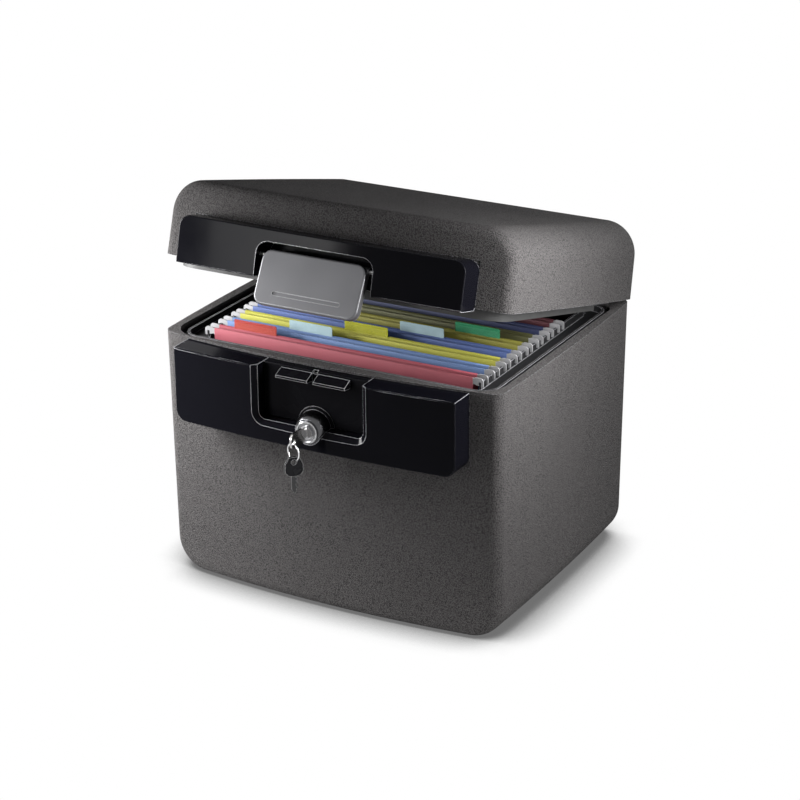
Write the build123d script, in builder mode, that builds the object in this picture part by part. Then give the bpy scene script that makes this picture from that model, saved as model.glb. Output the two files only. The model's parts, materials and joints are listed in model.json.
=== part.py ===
"""Fireproof file box with hanging folders, lid ajar and latch swung out, in millimetres.

+Z is up and the front faces -Y. The origin lies on the underside, below the middle of the body.
The lid's pieces are drawn with the lid closed, then turned open about its hinge.
"""
import os
from math import cos, radians, sin, tan

from build123d import *

os.makedirs("parts", exist_ok=True)

# Body and lid.
width = 389.0
depth = 316.5
body_height = 266.4
lid_height = 78.4
seam = 1.0
front_bow = 14.4
side_bow = 3.8
body_draft_front = 0.77
body_draft_side = 0.21
lid_draft = 1.34
lid_overhang = 3.0
corner_radius = 35.0
edge_radius = 11.0
open_angle = 14.7

# Rim, gasket groove and liners.
rim_wall = 12.5
rim_side_wall = 10.5
rim_radius = 28.0
gasket_height = 4.0
cavity_floor = 20.0
cavity_inset = 20.0
cavity_side_step = 6.0
liner_wall = 3.0
pocket_radius = 2.0
lip_wall = 2.5
lip_drop = 3.4
lip_side = 17.3
lip_front = 20.5
lip_radius = 20.0
ledge_drop = 10.4
ledge_width = 20.7
ledge_end = 5.0
liner_floor = 36.0
rail_rise = 8.0
tongue_wall = 5.0
tongue_depth = 10.0
tongue_depth_back = 4.0
tongue_step_y = 82.0
rebate = 4.0
lid_cavity_height = 55.0
lid_cavity_step = 4.5
lid_recess = 42.5
seal_gap = 0.4
fit_gap = 0.1
spare_room = 1.0

# Front trims and their shared recess.
trim_half = 159.0
trim_out = 25.4
trim_bow = 10.1
trim_inset = 1.5
trim_drop_low = 80.5
trim_drop_high = 2.2
lid_trim_below = 2.1
lid_trim_gap = 0.5
lid_trim_high = 45.8
trim_corner = 12.0
trim_edge = 1.2
recess_half = 65.0
recess_floor = 15.6
recess_rise = 33.8
recess_radius = 13.0
flare_side = 5.5
flare_rise = 6.0
flare_depth = 4.5
plate_margin = 3.0
plate_front = 3.5
plate_back = 6.5

# Recess panel and catches.
panel_out = 8.5
panel_edge = 1.2
panel_notch = 5.0
panel_notch_depth = 3.0
keeper_in = 3.5
keeper_half = 39.0
keeper_out = 19.5
keeper_drop_low = 13.8
keeper_drop_high = 4.8
keeper_slope = 4.8
keeper_nose = 2.5

# Latch.
latch_width = 115.0
latch_height = 54.4
latch_below = 29.8
latch_front = 23.5
latch_thick = 8.0
latch_skin = 3.0
latch_radius = 10.0
latch_edge = 2.2
latch_groove_length = 75.0
latch_groove_height = 4.0
latch_groove_depth = 1.2
latch_groove_rise = 12.6
latch_angle = 14.0
pivot_out = 14.0
pivot_rise = 20.1
pivot_radius = 2.0
pivot_gap = 0.06
pivot_end = 2.0
lug_radius = 4.2
lug_length = 12.5
hook_below = 20.7
hook_out = 11.0
hook_width = 20.0
hook_thick = 3.5
hook_barb = 3.0
hook_barb_thick = 2.0
hook_bar_thick = 2.0
hook_bar_height = 6.0

# Lock and keys.
lock_rise = 4.8
boss_radius = 17.5
boss_ring = 20.5
boss_ring_thick = 1.8
boss_step_out = 15.0
boss_tip_radius = 13.2
boss_tip_out = 26.0
cylinder_radius = 9.0
flange_radius = 11.6
flange_thick = 2.4
flange_dish = 10.2
flange_dish_depth = 1.6
plug_radius = 6.5
plug_gap = 0.08
plug_proud = 0.3
flange_edge = 0.6
boss_edge = 1.0
slot_width = 2.6
slot_height = 8.6
slot_depth = 27.0
cam_thick = 2.0
cam_length = 20.0
cam_width = 11.0
cam_pocket_radius = 22.0
cam_pocket_depth = 3.6
cam_square = 5.0
cam_gap = 0.5
key_thick = 2.2
key_blade_height = 8.2
key_blade_length = 24.0
key_cuts = 4
key_cut_pitch = 4.5
key_cut_radius = 1.2
key_cut_more = 0.5
key_shoulder = 3.0
key_bow_length = 26.0
key_bow_height = 16.0
key_bow_corner = 6.0
key_hole_radius = 2.9
key_hole_edge = 5.0
key_hole_drop = 1.0
ring_radius = 8.5
ring_wire = 0.75
ring_gap = 0.5
ring_yaw = 20.0
spare_yaw = 45.0
spare_head_width = 18.0
spare_head_height = 20.0
spare_head_thick = 3.4
spare_head_flat = 10.0
spare_head_shoulder = 8.0
spare_head_waist = 4.0
spare_head_corner = 2.5
spare_hole_edge = 2.2
spare_blade_length = 18.5
spare_blade_width = 5.6
spare_blade_root = 6.0
spare_blade_point = 4.0

# Hinges.
hinge_x = 110.0
hinge_length = 60.0
hinge_out = 3.0
knuckle_radius = 5.5
knuckle_gap = 0.3
hinge_pin_radius = 2.0
hinge_pin_gap = 0.05
leaf_thick = 2.5
leaf_inset = 1.0
leaf_height = 36.0
screw_radius = 3.6
screw_head = 1.6
screw_spacing = 36.0
screw_rows = (0.45, 0.8)

# Hanging folders.
folder_count = 8
folder_pitch = 24.5
folder_first = 45.0
folder_gap = 12.0
folder_sheet = 0.8
folder_rise = 2.6
rod_thick = 1.2
rod_height = 8.0
rod_drop = 0.8
hook_length = 11.5
hook_tip = 2.5
hook_drop = 5.0
hook_clearance = 0.3
folder_lift = 5.0
rail_width = 2.2
tab_width = 50.5
tab_height = 8.5
tab_thick = 0.8
tab_tuck = 4.0
tab_space = 0.5
tab_edge = 18.0
tab_names = ("red", "clear", "yellow", "clear", "green")

# Places worked out from the sizes above.
y_front = -depth / 2
y_back = depth / 2
half = width / 2
lid_low = body_height + seam
lid_high = lid_low + lid_height
hinge_y = y_back + hinge_out
hinge_z = body_height + seam / 2
lid_axis = Axis((0, hinge_y, hinge_z), (1, 0, 0))
body_trim_low = body_height - trim_drop_low
body_trim_high = body_height - trim_drop_high
recess_low = body_trim_low + recess_floor
lock_z = recess_low + lock_rise
keeper_low = body_height - keeper_drop_low
keeper_high = body_height - keeper_drop_high
latch_low = lid_low - latch_below
pivot_z = lid_low + pivot_rise
hook_z = body_height - hook_below
latch_axis = Axis((0, y_front - pivot_out, pivot_z), (1, 0, 0))
ledge_half = half - lip_side - lip_wall - ledge_width
pocket_half_depth = y_back - lip_front - lip_wall - ledge_end - liner_wall
ledge_z = body_height - ledge_drop
groove_floor = ledge_z - liner_wall
rail_z = ledge_z + rail_rise
rod_half = ledge_half + rail_width + hook_clearance + hook_tip
folder_half = rod_half - hook_length
folder_top = body_height + folder_rise
recess_high = lid_low + recess_rise
lid_trim_z = lid_low - lid_trim_below
lid_trim_top = lid_low + lid_trim_high
plug_face = y_front - boss_tip_out - flange_thick - plug_proud


def save(part, name):
    part.label = name
    export_step(part, "parts/" + name + ".step")
    print(name, round(part.volume / 1000, 2), "cm3")


def save_lid(part, name):
    save(part.rotate(lid_axis, -open_angle), name)


def save_latch(part, name):
    save_lid(part.rotate(latch_axis, -latch_angle), name)


def cut(part):
    add(part, mode=Mode.SUBTRACT)


def upright(y):
    """A plane that faces the front at depth y, with its own y axis along Z."""
    return Plane.XZ.offset(-y)


def bow(x, sag):
    return sag * (2 * x / width) ** 2


def bowed_region(z, x_half, near, near_sag, far, far_sag):
    """Plan outline at height z between a front line and a back line, each bowed by its own sag."""
    near_side = near + bow(x_half, near_sag)
    far_side = far + bow(x_half, far_sag)
    with BuildSketch(Plane.XY.offset(z)) as region:
        with BuildLine():
            ThreePointArc((-x_half, near_side), (0, near), (x_half, near_side))
            Line((x_half, near_side), (x_half, far_side))
            if far_sag:
                ThreePointArc((x_half, far_side), (0, far), (-x_half, far_side))
            else:
                Line((x_half, far_side), (-x_half, far_side))
            Line((-x_half, far_side), (-x_half, near_side))
        make_face()
    return region.sketch


def plan_outline(z, x_half, inset):
    """Outer plan of a shell at height z, bowed at the front and the sides and straight at the back."""
    near = y_front + inset
    near_side = near + bow(x_half - side_bow, front_bow)
    near_x = x_half - side_bow * (near_side / y_back) ** 2
    far = y_back - inset
    far_x = x_half - side_bow
    with BuildSketch(Plane.XY.offset(z)) as plan:
        with BuildLine():
            ThreePointArc((-near_x, near_side), (0, near), (near_x, near_side))
            ThreePointArc((near_x, near_side), (x_half, 0), (far_x, far))
            Line((far_x, far), (-far_x, far))
            ThreePointArc((-far_x, far), (-x_half, 0), (-near_x, near_side))
        make_face()
    return plan.sketch


def shell_block(low, high, half_low, half_high, inset_low, inset_high, square_z):
    """Outer form of the body or the lid, rounded all round except at height square_z."""
    with BuildPart() as block:
        loft([plan_outline(z, x_half, inset).face()
              for z, x_half, inset in ((low, half_low, inset_low), (high, half_high, inset_high))])
        long_edges = [edge for edge in block.edges()
                      if abs(edge.center().Z - square_z) > lid_height / 2 and abs(edge.center().X) > half / 2]
        sides = [edge for edge in long_edges if abs(edge.tangent_at(0.5).Y) > 0.5]
        fillet(sides, corner_radius)
        faces = block.faces().sort_by(Axis.Y)
        for face in (faces[0], faces[-1]):
            soft = [edge for edge in face.edges() if abs(edge.center().Z - square_z) > spare_room]
            fillet(soft, edge_radius)
    return block.part


def rounded_prism(low, high, x_half, y_half, radius):
    with BuildPart() as prism:
        with BuildSketch(Plane.XY.offset(low)):
            RectangleRounded(2 * x_half, 2 * y_half, radius)
        extrude(amount=high - low)
    return prism.part


def recess_outline(y, low, high, margin, open_up):
    """The latch recess's outline at depth y, square at its open end and rounded at the other."""
    with BuildSketch(upright(y)) as outline:
        with Locations((0, (low + high) / 2)):
            Rectangle(2 * (recess_half + margin), high - low)
        rows = outline.vertices().group_by(Axis.Y)
        fillet(rows[0] if open_up else rows[-1], recess_radius + margin)
    return outline.sketch


def recess_prism(low, high, margin, near, far, open_up):
    """A block with the latch recess's outline, between two depths."""
    with BuildPart() as prism:
        extrude(recess_outline(near, low, high, margin, open_up), amount=far - near, dir=(0, 1, 0))
    return prism.part


def recess_flare():
    """The slanted edge round the body's recess, wider towards the front."""
    near = y_front - trim_out - spare_room
    throat = y_front - trim_out + bow(recess_half, trim_bow) + flare_depth
    slope = flare_side / flare_depth
    top = body_trim_high + spare_room
    mouth_margin = slope * (bow(recess_half, trim_bow) + spare_room)
    with BuildPart() as flare:
        loft((recess_outline(near, recess_low - spare_room, top, mouth_margin, True),
              recess_outline(throat, recess_low + flare_rise, top, -flare_side, True)))
    return flare.part


def across(radius, y, z, x_half, x_mid=0):
    """A round bar along X."""
    with BuildPart() as bar:
        with BuildSketch(Plane.YZ.offset(x_mid - x_half)):
            with Locations((y, z)):
                Circle(radius)
        extrude(amount=2 * x_half)
    return bar.part


def lock_round(radius, near, far):
    """A round bar along Y on the lock's axis, between two distances from the body's front."""
    with BuildPart() as bar:
        with BuildSketch(upright(y_front + near)):
            with Locations((0, lock_z)):
                Circle(radius)
        extrude(amount=-(far - near))
    return bar.part


def boss_form(gap):
    """The lock's boss: a drum with a rounded nose, grown by gap."""
    step = (boss_radius + gap, y_front - boss_step_out)
    tip = (boss_tip_radius + gap, y_front - boss_tip_out)
    with BuildPart() as form:
        with BuildSketch(Plane.XY.offset(lock_z)):
            with BuildLine():
                Polyline((0, tip[1]), (0, y_front + plate_front), (boss_radius + gap, y_front + plate_front),
                         step)
                TangentArc(step, tip, tangent=(0, -1))
                Line(tip, (0, tip[1]))
            make_face()
        revolve(axis=Axis((0, 0, lock_z), (0, 1, 0)))
    return form.part


def hinge_pockets(z_low, z_high):
    """Room in a shell's back for the leaves and knuckles."""
    with BuildPart() as pockets:
        for x in (-hinge_x, hinge_x):
            add(across(knuckle_radius + spare_room, hinge_y, hinge_z, hinge_length / 2 + spare_room, x))
            with Locations((x, y_back - leaf_inset + leaf_thick, (z_low + z_high) / 2)):
                Box(hinge_length + 2 * fit_gap, 2 * leaf_thick, z_high - z_low)
    return pockets.part


def body_shell():
    lean = body_height * tan(radians(body_draft_front))
    low_half = half - body_height * tan(radians(body_draft_side))
    with BuildPart() as shell:
        add(shell_block(0, body_height, low_half, half, lean, 0, body_height))
        cut(rounded_prism(groove_floor, body_height + spare_room, half - rim_side_wall, y_back - rim_wall,
                          rim_radius))
        cut(rounded_prism(cavity_floor, body_height, half - rim_side_wall - cavity_side_step,
                          y_back - cavity_inset, rim_radius))
        pocket = bowed_region(body_trim_low - fit_gap, trim_half + fit_gap, y_front - trim_out, trim_bow,
                              y_front + trim_inset, front_bow)
        extrude(pocket, amount=body_trim_high - body_trim_low + 2 * fit_gap, mode=Mode.SUBTRACT)
        cut(recess_prism(recess_low - plate_margin, body_trim_high + fit_gap, plate_margin,
                         y_front - trim_out, y_front + plate_back, True))
        cut(lock_round(cam_pocket_radius, plate_back, plate_back + cam_pocket_depth))
        cut(lock_round(boss_radius + 2 * fit_gap, -trim_out, plate_back))
        cut(hinge_pockets(hinge_z - leaf_height, hinge_z))
    save(shell.part, "body_shell")


def liner_prisms(grow):
    """The liner's upper tray and lower pocket, grown by a gap."""
    with BuildPart() as form:
        add(rounded_prism(ledge_z - liner_wall - grow, body_height - lip_drop, half - lip_side + grow,
                          y_back - lip_front + grow, lip_radius))
        add(rounded_prism(liner_floor - liner_wall, body_height - lip_drop, ledge_half + liner_wall + grow,
                          pocket_half_depth + liner_wall + grow, pocket_radius + liner_wall))
    return form.part


def body_insulation():
    with BuildPart() as fill:
        add(rounded_prism(cavity_floor, groove_floor, half - rim_side_wall - cavity_side_step - fit_gap,
                          y_back - cavity_inset - fit_gap, rim_radius))
        cut(liner_prisms(fit_gap))
    save(fill.part, "body_insulation")


def body_liner():
    with BuildPart() as liner:
        add(liner_prisms(0))
        cut(rounded_prism(ledge_z, body_height, half - lip_side - lip_wall, y_back - lip_front - lip_wall,
                          lip_radius - lip_wall))
        cut(rounded_prism(liner_floor, body_height, ledge_half, pocket_half_depth, pocket_radius))
        for side in (-1, 1):
            with Locations((side * (ledge_half + rail_width / 2), 0, ledge_z + rail_rise / 2)):
                Box(rail_width, 2 * pocket_half_depth - lip_radius, rail_rise)
    save(liner.part, "body_liner")


def body_gasket():
    """Sits in the groove on the insulation, between the rim and the liner's lip."""
    top = groove_floor + gasket_height
    with BuildPart() as gasket:
        add(rounded_prism(groove_floor, top, half - rim_side_wall - fit_gap, y_back - rim_wall - fit_gap,
                          rim_radius))
        cut(rounded_prism(groove_floor, top, half - lip_side + fit_gap, y_back - lip_front + fit_gap,
                          lip_radius))
    save(gasket.part, "body_gasket")


def trim_outline(z_low, z_high, round_low):
    """Front outline of a trim as a deep prism."""
    with BuildPart() as prism:
        with BuildSketch(upright(y_front - trim_out - spare_room)) as outline:
            with Locations((0, (z_low + z_high) / 2)):
                Rectangle(2 * trim_half, z_high - z_low)
            rows = outline.vertices().group_by(Axis.Y)
            fillet(rows[0] if round_low else rows[-1], trim_corner)
        extrude(amount=-(trim_out + front_bow + trim_bow))
    return prism.part


def trim_form(z_low, z_high, round_low):
    """A front trim: bowed in plan, with rounded outer corners on its far side from the seam."""
    plan = bowed_region(z_low - spare_room, trim_half + spare_room, y_front - trim_out, trim_bow,
                        y_front + trim_inset - fit_gap, front_bow)
    with BuildPart() as trim:
        extrude(plan, amount=z_high - z_low + 2 * spare_room)
        add(trim_outline(z_low, z_high, round_low), mode=Mode.INTERSECT)
        front = trim.faces().sort_by(Axis.Y)[0]
        fillet(front.edges(), trim_edge)
    return trim.part


def body_trim():
    with BuildPart() as trim:
        add(trim_form(body_trim_low, body_trim_high, True))
        cut(recess_prism(recess_low + flare_rise, body_trim_high + spare_room, -flare_side,
                         y_front - 2 * trim_out, y_front + trim_out, True))
        cut(recess_flare())
        cut(boss_form(fit_gap))
    save(trim.part, "body_trim")


def recess_panel(out):
    """Fills the recess's throat from the plate forwards, up to a distance in front of the body."""
    return recess_prism(recess_low + flare_rise + fit_gap, body_trim_high, -flare_side - fit_gap,
                        y_front - out, y_front + plate_front, True)


def strike_plate():
    """Back of the body's recess: a plate behind the trim, and a thick panel with a ring round the lock."""
    with BuildPart() as plate:
        add(recess_panel(panel_out))
        fillet(plate.faces().sort_by(Axis.Y)[0].edges(), panel_edge)
        add(recess_prism(recess_low - plate_margin + fit_gap, body_trim_high, plate_margin - fit_gap,
                         y_front + plate_front, y_front + plate_back, True))
        with BuildPart(mode=Mode.PRIVATE) as ring:
            add(lock_round(boss_ring, -panel_out - boss_ring_thick, plate_front))
            edge = ring.faces().sort_by(Axis.Y)[0].edges()
            fillet(edge, boss_edge)
            add(recess_panel(trim_out), mode=Mode.INTERSECT)
        add(ring.part)
        with Locations((0, y_front - panel_out, body_trim_high)):
            Box(panel_notch, 2 * panel_notch_depth, 2 * panel_notch_depth, mode=Mode.SUBTRACT)
        cut(lock_round(boss_radius + fit_gap, -trim_out, plate_back + spare_room))
    save(plate.part, "strike_plate")


def keepers():
    """Two ledges that the latch's hooks catch under."""
    with BuildPart() as ledges:
        for side in (-1, 1):
            with BuildSketch(Plane.YZ.offset(-keeper_half if side < 0 else keeper_in)):
                with BuildLine():
                    Polyline((y_front - panel_out, keeper_low),
                             (y_front - keeper_out, keeper_high - keeper_slope - keeper_nose),
                             (y_front - keeper_out, keeper_high - keeper_slope),
                             (y_front - panel_out, keeper_high), close=True)
                make_face()
            extrude(amount=keeper_half - keeper_in)
    save(ledges.part, "keepers")


def lock_boss():
    with BuildPart() as boss:
        add(boss_form(0))
        add(lock_round(boss_radius, plate_front, plate_back))
        cut(lock_round(cylinder_radius + fit_gap, -boss_tip_out - spare_room, plate_back + spare_room))
        rim = boss.faces().sort_by(Axis.Y)[0].edges().sort_by(SortBy.RADIUS)[-1]
        fillet(rim, boss_edge)
    save(boss.part, "lock_boss")


def lock_cylinder():
    with BuildPart() as cylinder:
        add(lock_round(cylinder_radius, -boss_tip_out, plate_back))
        add(lock_round(flange_radius, -boss_tip_out - flange_thick, -boss_tip_out))
        cut(lock_round(flange_dish, -trim_out - 2 * flange_thick,
                       flange_dish_depth - boss_tip_out - flange_thick))
        cut(lock_round(plug_radius + plug_gap, -boss_tip_out - 2 * flange_thick, plate_back + spare_room))
        rim = cylinder.faces().sort_by(Axis.Y)[0].edges().sort_by(SortBy.RADIUS)[-1]
        chamfer(rim, flange_edge)
    save(cylinder.part, "lock_cylinder")


def lock_plug():
    with BuildPart() as plug:
        add(lock_round(plug_radius, plug_face - y_front, plate_back + cam_gap))
        with Locations((0, y_front + plate_back + cam_gap + cam_thick / 2, lock_z)):
            Box(cam_square, cam_thick, cam_square)
        with Locations((0, plug_face + slot_depth / 2, lock_z)):
            Box(slot_width, slot_depth, slot_height, mode=Mode.SUBTRACT)
    save(plug.part, "lock_plug")


def lock_cam():
    """Turns behind the strike plate with the plug."""
    with BuildPart() as cam:
        with BuildSketch(upright(y_front + plate_back + cam_gap)):
            with Locations((0, lock_z)):
                Circle(cam_width / 2)
                Rectangle(cam_length, cam_width, align=(Align.MIN, Align.CENTER))
                Rectangle(cam_square, cam_square, mode=Mode.SUBTRACT)
        extrude(amount=-cam_thick)
    save(cam.part, "lock_cam")


def key():
    """The key in the lock, with an oval bow that has a hole for the ring."""
    bow_near = plug_face - key_shoulder
    tip = plug_face + key_blade_length
    blade = tip - bow_near + key_hole_edge
    hole_y = bow_near - key_bow_length + key_hole_edge
    with BuildPart() as cut_key:
        with BuildSketch(Plane.YZ.offset(-key_thick / 2)) as side:
            with Locations((tip - blade / 2, lock_z)):
                Rectangle(blade, key_blade_height)
            for index in range(key_cuts):
                with Locations((tip - key_cut_pitch * (index + 1), lock_z - key_blade_height / 2)):
                    Circle(key_cut_radius + key_cut_more * (index % 2), mode=Mode.SUBTRACT)
            with Locations((bow_near - key_bow_length / 2, lock_z)):
                RectangleRounded(key_bow_length, key_bow_height, key_bow_corner)
            with Locations((hole_y, lock_z - key_hole_drop)):
                Circle(key_hole_radius, mode=Mode.SUBTRACT)
        extrude(amount=key_thick)
    save(cut_key.part, "key")
    return hole_y


def key_ring(hole_y):
    """Hangs through the bow's hole, its plane turned by ring_yaw."""
    top = lock_z - key_hole_drop - key_hole_radius + ring_wire + ring_gap
    centre_z = top - ring_radius
    turn = radians(ring_yaw)
    ring_plane = Plane(origin=(0, hole_y, centre_z), x_dir=(cos(turn), -sin(turn), 0),
                       z_dir=(sin(turn), cos(turn), 0))
    with BuildPart() as ring:
        with Locations(ring_plane):
            Torus(ring_radius, ring_wire)
    save(ring.part, "key_ring")
    return centre_z - ring_radius


def spare_key(hole_y, wire_z):
    """The second key hangs from the ring, turned towards the front right."""
    hole_z = wire_z + ring_wire + ring_gap - key_hole_radius
    top = hole_z + key_hole_radius + spare_hole_edge
    low = top - spare_head_height
    flat = spare_head_flat / 2
    side = spare_head_width / 2
    edge = spare_blade_width / 2
    root = low + spare_blade_root
    point = low - spare_blade_length
    turn = radians(spare_yaw)
    face_plane = Plane(origin=(0, hole_y, 0), x_dir=(cos(turn), sin(turn), 0),
                       z_dir=(sin(turn), -cos(turn), 0))
    with BuildPart() as head:
        with BuildSketch(face_plane.offset(-spare_head_thick / 2)) as outline:
            with BuildLine():
                Polyline((-flat, top), (flat, top), (side, top - spare_head_shoulder),
                         (side, low + spare_head_waist), (flat, low), (-flat, low),
                         (-side, low + spare_head_waist), (-side, top - spare_head_shoulder), close=True)
            make_face()
            fillet(outline.vertices(), spare_head_corner)
            with Locations((0, hole_z)):
                Circle(key_hole_radius, mode=Mode.SUBTRACT)
        extrude(amount=spare_head_thick)
        slot = face_plane.offset(-key_thick / 2 - fit_gap)
        with BuildSketch(slot):
            with Locations((0, (root + low) / 2)):
                Rectangle(spare_blade_width + 2 * fit_gap, root - low + 2 * fit_gap)
        extrude(amount=key_thick + 2 * fit_gap, mode=Mode.SUBTRACT)
    save(head.part, "spare_key_head")
    with BuildPart() as blade:
        with BuildSketch(face_plane.offset(-key_thick / 2)):
            with BuildLine():
                Polyline((-edge, root), (edge, root), (edge, point + spare_blade_point), (0, point),
                         (-edge, point + spare_blade_point), close=True)
            make_face()
            for index in range(key_cuts):
                with Locations((edge, point + key_cut_pitch * (index + 1))):
                    Circle(key_cut_radius + key_cut_more * (index % 2), mode=Mode.SUBTRACT)
        extrude(amount=key_thick)
    save(blade.part, "spare_key_blade")


def lid_shell():
    lean = lid_height * tan(radians(lid_draft))
    low_half = half + lid_overhang
    with BuildPart() as shell:
        add(shell_block(lid_low, lid_high, low_half, low_half - lean, 0, lean, lid_low))
        cut(rounded_prism(lid_low, lid_low + rebate, half - rim_side_wall + seal_gap, y_back - rim_wall,
                          rim_radius))
        cut(rounded_prism(lid_low, lid_low + lid_cavity_height, half - rim_side_wall - lid_cavity_step,
                          y_back - rim_wall - lid_cavity_step, rim_radius))
        pocket = bowed_region(lid_low, trim_half + fit_gap, y_front - trim_out, trim_bow,
                              y_front + trim_inset, front_bow)
        extrude(pocket, amount=lid_trim_high + fit_gap, mode=Mode.SUBTRACT)
        cut(recess_prism(lid_low - spare_room, recess_high + plate_margin, plate_margin, y_front - trim_out,
                         y_front + plate_back, False))
        cut(hinge_pockets(hinge_z, hinge_z + leaf_height))
    save_lid(shell.part, "lid_shell")


def lid_insulation():
    with BuildPart() as fill:
        add(rounded_prism(lid_low + rebate, lid_low + lid_cavity_height,
                          half - rim_side_wall - lid_cavity_step - fit_gap,
                          y_back - rim_wall - lid_cavity_step - fit_gap, rim_radius))
        cut(rounded_prism(lid_low, lid_low + lid_recess + liner_wall, half - lip_side - liner_wall + fit_gap,
                          y_back - lip_front - liner_wall + fit_gap, lip_radius))
    save_lid(fill.part, "lid_insulation")


def lid_liner():
    outer = half - lip_side - liner_wall
    deep = y_back - lip_front - liner_wall
    with BuildPart() as liner:
        add(rounded_prism(lid_low, lid_low + lid_recess + liner_wall, outer, deep, lip_radius))
        cut(rounded_prism(lid_low, lid_low + lid_recess, outer - liner_wall, deep - liner_wall,
                          lip_radius - liner_wall))
    save_lid(liner.part, "lid_liner")


def lid_seal():
    """Flat ring in the lid's underside, with a tongue that drops into the body's groove."""
    side = half - (rim_side_wall + lip_side) / 2 + tongue_wall / 2
    deep = y_back - (rim_wall + lip_front) / 2 + tongue_wall / 2
    corner = rim_radius - seal_gap
    with BuildPart() as seal:
        add(rounded_prism(lid_low, lid_low + rebate, half - rim_side_wall + seal_gap - fit_gap,
                          y_back - rim_wall - fit_gap, rim_radius))
        add(rounded_prism(lid_low - tongue_depth, lid_low, side, deep, corner))
        cut(rounded_prism(lid_low - tongue_depth, lid_low, side - tongue_wall, deep - tongue_wall,
                          corner - tongue_wall))
        cut(rounded_prism(lid_low, lid_low + rebate, half - lip_side - liner_wall + fit_gap,
                          y_back - lip_front - liner_wall + fit_gap, lip_radius))
        with Locations((0, tongue_step_y + depth / 2, lid_low - tongue_depth_back - tongue_depth / 2)):
            Box(width, depth, tongue_depth, mode=Mode.SUBTRACT)
    save_lid(seal.part, "lid_seal")


def lid_trim():
    with BuildPart() as trim:
        add(trim_form(lid_trim_z, lid_trim_top, False))
        cut(recess_prism(lid_trim_z - spare_room, recess_high, 0, y_front - 2 * trim_out, y_front + trim_out,
                         False))
        behind = bowed_region(lid_trim_z - spare_room, trim_half + spare_room,
                              y_front - lid_trim_gap, front_bow,
                              y_front + 2 * front_bow, 0)
        extrude(behind, amount=lid_trim_below + spare_room, mode=Mode.SUBTRACT)
        cut(across(pivot_radius + fit_gap / 2, y_front - pivot_out, pivot_z,
                   recess_half + pivot_end + fit_gap))
    save_lid(trim.part, "lid_trim")


def latch_well():
    """Back of the lid's half of the recess."""
    save_lid(recess_prism(lid_low, recess_high + plate_margin - fit_gap, plate_margin - fit_gap,
                          y_front + plate_front, y_front + plate_back, False), "latch_well")


def latch_pin():
    save_lid(across(pivot_radius, y_front - pivot_out, pivot_z, recess_half + pivot_end), "latch_pin")


def latch_plate():
    face_y = y_front - latch_front
    mid_z = latch_low + latch_height / 2
    with BuildPart() as plate:
        with BuildSketch(upright(face_y)):
            with Locations((0, mid_z)):
                RectangleRounded(latch_width, latch_height, latch_radius)
        extrude(amount=-latch_thick)
        fillet(plate.faces().sort_by(Axis.Y)[0].edges(), latch_edge)
        with BuildSketch(upright(face_y + latch_skin)):
            with Locations((0, mid_z)):
                RectangleRounded(latch_width - 2 * latch_skin, latch_height - 2 * latch_skin,
                                 latch_radius - latch_skin)
        extrude(amount=-latch_thick, mode=Mode.SUBTRACT)
        for side in (-1, 1):
            x_mid = side * (latch_width - lug_length - spare_room) / 2
            add(across(lug_radius, y_front - pivot_out, pivot_z, lug_length / 2, x_mid))
        with BuildSketch(upright(face_y)):
            with Locations((0, latch_low + latch_groove_rise)):
                SlotOverall(latch_groove_length, latch_groove_height)
        extrude(amount=-latch_groove_depth, mode=Mode.SUBTRACT)
        cut(across(pivot_radius + pivot_gap, y_front - pivot_out, pivot_z, latch_width))
    save_latch(plate.part, "latch_plate")


def latch_hooks():
    """A bar behind the plate with two hooks that reach under the ledges."""
    back = y_front - latch_front + latch_skin
    tip = y_front - hook_out
    with BuildPart() as hooks:
        with Locations((0, back + hook_bar_thick / 2, hook_z)):
            Box(2 * keeper_half, hook_bar_thick, hook_bar_height)
        for side in (-1, 1):
            x = side * (keeper_in + keeper_half) / 2
            with Locations((x, (back + tip) / 2, hook_z)):
                Box(hook_width, tip - back, hook_thick)
            with Locations((x, tip - hook_barb_thick / 2, hook_z + (hook_thick + hook_barb) / 2)):
                Box(hook_width, hook_barb_thick, hook_barb)
    save_latch(hooks.part, "latch_hooks")


def hinge_leaves(up):
    """Two leaves of one side, with outer knuckles on the body and middle ones on the lid."""
    third = hinge_length / 3
    leaf_mid = hinge_z + up * (leaf_height / 2 + knuckle_gap)
    with BuildPart() as leaves:
        for x in (-hinge_x, hinge_x):
            spots = (x,) if up > 0 else (x - third, x + third)
            others = (x - third, x + third) if up > 0 else (x,)
            with Locations((x, y_back - leaf_inset + leaf_thick / 2, leaf_mid)):
                Box(hinge_length, leaf_thick, leaf_height - 2 * knuckle_gap)
            for other in others:
                cut(across(knuckle_radius + spare_room, hinge_y, hinge_z, third / 2 + knuckle_gap, other))
            for spot in spots:
                add(across(knuckle_radius, hinge_y, hinge_z, third / 2 - knuckle_gap, spot))
            for z_step in screw_rows:
                with Locations((x, y_back - leaf_inset + leaf_thick, hinge_z + up * z_step * leaf_height)):
                    with GridLocations(screw_spacing, 1, 2, 1):
                        with Locations(Rotation(90, 0, 0)):
                            Cylinder(screw_radius + fit_gap, 2 * screw_head, mode=Mode.SUBTRACT)
        bore = hinge_pin_radius + (hinge_pin_gap if up > 0 else fit_gap / 10)
        cut(across(bore, hinge_y, hinge_z, width / 2))
    return leaves.part


def hinge_screws(up):
    """Flat screw heads, sunk in the leaves."""
    with BuildPart() as screws:
        for x in (-hinge_x, hinge_x):
            for z_step in screw_rows:
                with Locations((x, y_back - leaf_inset + leaf_thick - screw_head / 2,
                                hinge_z + up * z_step * leaf_height)):
                    with GridLocations(screw_spacing, 1, 2, 1):
                        with Locations(Rotation(90, 0, 0)):
                            Cylinder(screw_radius, screw_head)
    return screws.part


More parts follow.
